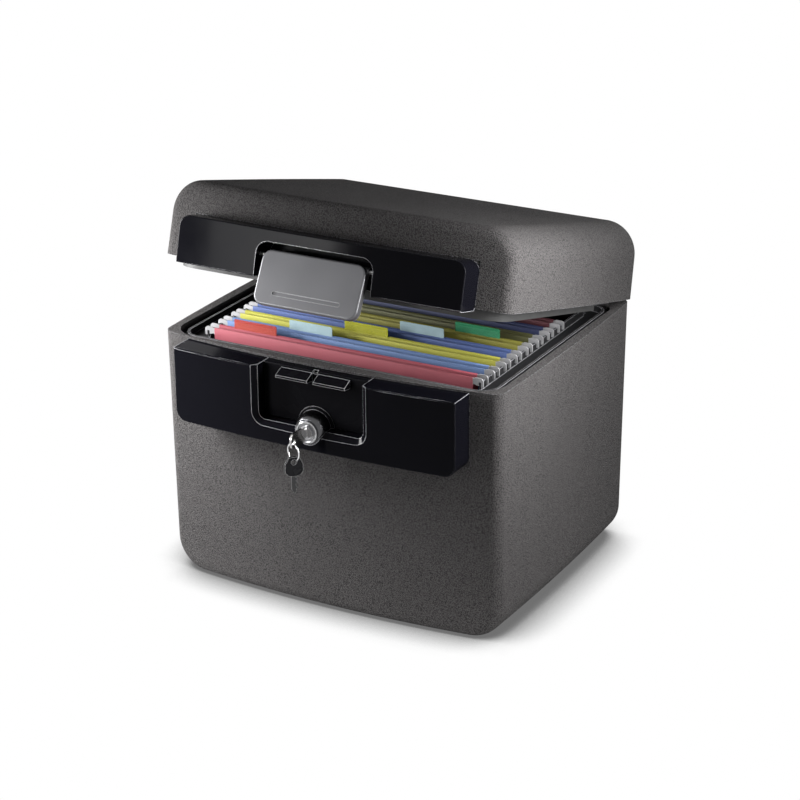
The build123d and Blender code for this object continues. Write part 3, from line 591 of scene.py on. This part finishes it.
# %% Make the eight sheets
folder_count = 8
seed_step = 3.7
card_crease = 50
for number in range(1, folder_count + 1):
    name = f"folder_{number}"
    low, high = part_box(name)
    mid_y = (low.y + high.y) / 2
    half_gap = (high.y - low.y) / 2 - card_thick
    outline = folder_outline(mid_y, half_gap, low.z + card_thick, high.z - card_thick)
    links = [(i, i + 1) for i in range(len(outline) - 1)]
    sheet = make_object(f"card_{number}", mesh_from(name, [(0, y, z) for y, z in outline], links))
    run_tree(sheet, sheet_tree, {"Half Width": high.x, "Top": high.z, "Seed": number * seed_step,
                                 "Card": cards[slot_of_node[name]]})
    facing_out(sheet.data)
    smooth_shaded(sheet, card_crease)
    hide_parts(name)
    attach(sheet, f"file_{number}")
print("sheets made:", folder_count, "faces in one:", len(sheet.data.polygons))

# %% [markdown]
# Each file hangs on two flat steel rods, and five files carry a plastic tab. Rods and tabs are the
# same kind of thing: a flat outline cut from sheet and repeated side by side. So one Geometry Nodes
# tree makes them all: it gives an outline its thickness, then sets copies at even steps.

# %% Geometry Nodes tree: cut from sheet and repeat
plate_tree, plate_in, plate_out = new_group(
    "cut_plates", "GeometryNodeTree",
    {"Outline": ("NodeSocketGeometry", None), "Thickness": (FLOAT, 1.2 * mm),
     "Count": ("NodeSocketInt", 2), "Step": (VECTOR, (0.0, 0.01, 0.0)),
     "Finish": ("NodeSocketMaterial", None)},
    {"Plates": "NodeSocketGeometry"})
plate = thicken(plate_tree, plate_in.outputs["Outline"], plate_in.outputs["Thickness"], plate_weld)
steps = add_node(plate_tree, "GeometryNodeMeshLine",
                 {"Count": plate_in.outputs["Count"], "Offset": plate_in.outputs["Step"]},
                 mode="OFFSET")
copies = add_node(plate_tree, "GeometryNodeInstanceOnPoints",
                  {"Points": steps.outputs[0], "Instance": plate})
end_tree(plate_tree, copies.outputs[0], plate_in.outputs["Finish"], plate_out)

# %% [markdown]
# A rod's ends stand a little higher than its middle and are rounded on top. Each end has a notch
# underneath, with a flat top and clipped corners, that sits on the liner's rail. The outline is
# worked out for one end and mirrored.

# %% Outline of a rod
rod_thick = 1.2 * mm
hook_length = 11.5 * mm
bar_drop, bar_foot = 1.5 * mm, 8.0 * mm  # the bar's upper and lower edge, below the hooks' top
ramp_run, ramp_drop, shoulder_run = 3 * mm, 0.9 * mm, 3.2 * mm
throat_run, throat_rise, heel_rise = 1.5 * mm, 2.5 * mm, 1.2 * mm
shoulder_radius, tip_radius, toe_radius = 2.6 * mm, 3.4 * mm, 0.9 * mm
notch_inset, notch_height = 3.9 * mm, 4.7 * mm
notch_half, notch_flat, notch_clip = 1.4 * mm, 1.15 * mm, 0.3 * mm


def arc(mid_x, mid_z, radius, start, stop, steps=6):
    """Points round a centre, from one angle to another in degrees, in the plane across the box."""
    return [(mid_x + radius * math.cos(math.radians(start + (stop - start) * i / steps)),
             mid_z + radius * math.sin(math.radians(start + (stop - start) * i / steps)))
            for i in range(steps + 1)]


def rod_outline(half, low, top):
    """A rod's outline from its half length, its lowest and its highest place."""
    root = half - hook_length
    notch_x, notch_z = half - notch_inset, low + notch_height
    right = [(root - ramp_run, top - bar_drop), (root, top - ramp_drop)]
    right += arc(root + shoulder_run, top - shoulder_radius, shoulder_radius, 135, 90, 3)
    right += arc(half - tip_radius, top - tip_radius, tip_radius, 90, 0)
    right += arc(half - toe_radius, low + toe_radius, toe_radius, 0, -90, 3)
    right += [(notch_x + notch_half, low), (notch_x + notch_half, notch_z),
              (notch_x + notch_flat, notch_z + notch_clip),
              (notch_x - notch_flat, notch_z + notch_clip), (notch_x - notch_half, notch_z)]
    right += [(notch_x - notch_half, low + heel_rise), (root + throat_run, low + throat_rise),
              (root, top - bar_foot)]
    return right + [(-x, z) for x, z in reversed(right)]


print("rod outline points:", len(rod_outline(159 * mm, 0, 12 * mm)))


# %% Make the rods
def plates(name, outline, first_y, thickness, count, step, finish):
    """One object of flat plates: the outline lies across the box, and the copies go to the back."""
    face = mesh_from(name, [(x, first_y, z) for x, z in outline], faces=[range(len(outline))])
    piece = make_object(name, face)
    if face.polygons[0].normal.y < 0:
        face.flip_normals()
    run_tree(piece, plate_tree, {"Thickness": thickness, "Count": count, "Step": (0.0, step, 0.0),
                                 "Finish": finish})
    facing_out(piece.data)
    return piece


rods_per_file = 2
for number in range(1, folder_count + 1):
    node = f"rods_{number}"
    low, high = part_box(node)
    rods = plates(f"hanging_rods_{number}", rod_outline(high.x, low.z, high.z), low.y, rod_thick,
                  rods_per_file, high.y - low.y - rod_thick, rod_silver)
    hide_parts(node)
    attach(rods, f"file_{number}")
print("rods made:", rods_per_file * folder_count)

# %% [markdown]
# A tab is a folded sleeve of clear or coloured plastic with a strip of pale card inside its lower
# part. Two thin leaves and the card between them give that look, because light passes the sleeve
# twice.

# %% Tab finishes
opacity, opacity_change = 0.5, 0.03


def tab_plastic(name, color):
    material, tree, shader = new_material(name)
    surface = place_group(tree, handled, {"Smear Scale": 90.0})
    dark = tuple(channel * 0.9 for channel in color)
    tree.links.new(mix_colors(tree, surface.outputs["Smears"], dark, color),
                   shader.inputs["Base Color"])
    tree.links.new(spread(tree, surface.outputs["Smears"], 0.18, 0.3), shader.inputs["Roughness"])
    tree.links.new(spread(tree, surface.outputs["Smears"], opacity - opacity_change,
                          opacity + opacity_change), shader.inputs["Alpha"])
    shader.inputs["Specular IOR Level"].default_value = 0.2
    return material


def paler(color):
    """The strip's colour: the sleeve's, thinned with white."""
    return tuple(0.5 * channel + 0.24 for channel in color)


tab_nodes = [name for name in nodes if name.startswith("tab_")]
tab_slots = sorted({slot_of_node[name] for name in tab_nodes})
tab_colors = {"red": (0.34, 0.05, 0.035), "clear": (0.34, 0.46, 0.50),
              "yellow": (0.36, 0.36, 0.03), "green": (0.04, 0.25, 0.12)}
tab_finish = {}
for slot in tab_slots:
    color = next(value for key, value in tab_colors.items() if key in slot)
    tab_finish[slot] = (tab_plastic(slot, color), card(slot + "_card", paler(color)))
print("tab finishes:", tab_slots)

# %% Make the tabs
leaf_thick = 0.2 * mm
sleeve_corner = 1.2 * mm
strip_side, strip_foot, strip_head = 1.5 * mm, 1 * mm, 2.8 * mm  # margins round the strip
strip_corner, strip_depth = 0.3 * mm, 0.28 * mm
sleeve_leaves = 2


def tab_outline(low_x, high_x, low_z, high_z, corner):
    """A rectangle with its two upper corners rounded."""
    right_corner = arc(high_x - corner, high_z - corner, corner, 0, 90, 4)
    left_corner = arc(low_x + corner, high_z - corner, corner, 90, 180, 4)
    return [(low_x, low_z), (high_x, low_z)] + right_corner + left_corner


for node in tab_nodes:
    low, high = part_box(node)
    sleeve_finish, strip_finish = tab_finish[slot_of_node[node]]
    sleeve = plates(node.replace("tab", "tab_sleeve"),
                    tab_outline(low.x, high.x, low.z, high.z, sleeve_corner),
                    low.y, leaf_thick, sleeve_leaves, high.y - low.y - leaf_thick, sleeve_finish)
    strip = plates(node.replace("tab", "tab_strip"),
                   tab_outline(low.x + strip_side, high.x - strip_side, low.z + strip_foot,
                               high.z - strip_head, strip_corner),
                   low.y + strip_depth, leaf_thick, 1, 0.0, strip_finish)
    for piece in (sleeve, strip):
        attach(piece, node.replace("tab", "file"))
    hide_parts(node)
print("tabs made:", len(tab_nodes))

# %% [markdown]
# A plain pale floor carries the box in a white room. The camera sees both as pure white paper, and
# so do reflections and see-through materials, so that gloss and chrome show the same room. The
# lamps light the floor as an ordinary pale surface. The soft shadow round the box comes from an
# Ambient Occlusion node, which darkens the paper where the box covers much of the sky above it.

# %% Floor and surroundings
WHITE = (1, 1, 1, 1)
floor_reach = 8
shadow_reach = 0.075
fade_start, fade_end = 0.28, 0.42  # how far from the middle the shadow begins and ends fading
darkest_paper = 0.16


def sees_paper(tree):
    """1 for the rays that see the white paper, and 0 for those that carry light."""
    rays = add_node(tree, "ShaderNodeLightPath")
    seen = math_node(tree, "MAXIMUM", rays.outputs["Is Camera Ray"], rays.outputs["Is Glossy Ray"])
    return math_node(tree, "MAXIMUM", seen, rays.outputs["Is Transmission Ray"])


def paper_or(tree, ordinary, paper, kind):
    """End a tree with an ordinary surface or room that is white paper to some rays."""
    mixed = add_node(tree, "ShaderNodeMixShader", {0: sees_paper(tree)})
    tree.links.new(ordinary.outputs[0], mixed.inputs[1])
    tree.links.new(paper.outputs[0], mixed.inputs[2])
    tree.links.new(mixed.outputs[0], add_node(tree, kind).inputs[0])


corners = [(-floor_reach, -floor_reach, 0), (floor_reach, -floor_reach, 0),
           (floor_reach, floor_reach, 0), (-floor_reach, floor_reach, 0)]
floor = make_object("floor", mesh_from("floor", corners, faces=[(0, 1, 2, 3)]))
floor_paint = bpy.data.materials.new("pale_floor")
floor_paint.use_nodes = True
tree = floor_paint.node_tree
tree.nodes.clear()
floor_place = add_node(tree, "ShaderNodeTexCoord").outputs["Object"]
from_middle = add_node(tree, "ShaderNodeVectorMath", {0: floor_place},
                       operation="LENGTH").outputs["Value"]
far_away = add_node(tree, "ShaderNodeMapRange",
                    {"Value": from_middle, "From Min": fade_start, "From Max": fade_end},
                    interpolation_type="SMOOTHSTEP").outputs[0]
matt = add_node(tree, "ShaderNodeBsdfDiffuse", {"Color": (0.8, 0.8, 0.8, 1)})
open_sky = add_node(tree, "ShaderNodeAmbientOcclusion", {"Distance": shadow_reach},
                    samples=16).outputs["AO"]
shadow = add_node(tree, "ShaderNodeMapRange",
                  {"Value": open_sky, "From Min": 0.40, "From Max": 0.80,
                   "To Min": darkest_paper, "To Max": 1.0}).outputs[0]
shadow = math_node(tree, "MAXIMUM", shadow, far_away)
seen = add_node(tree, "ShaderNodeEmission", {"Color": WHITE, "Strength": shadow})
paper_or(tree, matt, seen, "ShaderNodeOutputMaterial")
floor.data.materials.append(floor_paint)

world = bpy.data.worlds.new("studio")
scene.world = world
world.use_nodes = True
tree = world.node_tree
tree.nodes.clear()
room = add_node(tree, "ShaderNodeBackground", {"Color": (0.9, 0.93, 1.0, 1), "Strength": 0.05})
paper = add_node(tree, "ShaderNodeBackground", {"Color": WHITE, "Strength": 1.0})
paper_or(tree, room, paper, "ShaderNodeOutputWorld")
print("floor and studio ready")

# %% [markdown]
# Soft boxes light the object, each an area lamp that is given by its place, the point it looks at,
# its size and its power. Two stand near: one at the left for the front, one high at the right for
# the sides and the lid's rounded edge. A weak one fills the right side low down, another lifts the
# front from the left, and the last one keeps the back from going black. A narrow spread keeps a
# lamp's light off the pieces that another one serves.

# %% Lamps
def soft_box(name, place, aim, width, height, watts, spread_angle=180):
    lamp = bpy.data.lights.new(name, "AREA")
    lamp.shape = "RECTANGLE"
    lamp.size = width
    lamp.size_y = height
    lamp.energy = watts
    lamp.spread = math.radians(spread_angle)
    holder = bpy.data.objects.new(name, lamp)
    scene.collection.objects.link(holder)
    holder.location = place
    holder.rotation_mode = "QUATERNION"
    holder.rotation_quaternion = (Vector(aim) - Vector(place)).to_track_quat("-Z", "Y")
    holder.visible_camera = False


soft_box("left_box", (-0.43, -0.275, 0.37), (-0.24, -0.16, 0.18), 0.16, 0.20, 4.1, 120)
soft_box("right_box", (0.42, -0.12, 0.47), (0.19, -0.05, 0.27), 0.12, 0.20, 3.8)
soft_box("low_right_box", (0.46, -0.13, 0.34), (0.19, -0.12, 0.22), 0.15, 0.20, 0.5, 120)
soft_box("front_left_box", (-0.50, -0.85, 0.42), (-0.16, -0.16, 0.24), 0.30, 0.30, 0.5, 50)
soft_box("back_box", (0.35, 1.25, 0.45), (0.0, 0.1, 0.20), 0.60, 0.50, 3.5, 90)
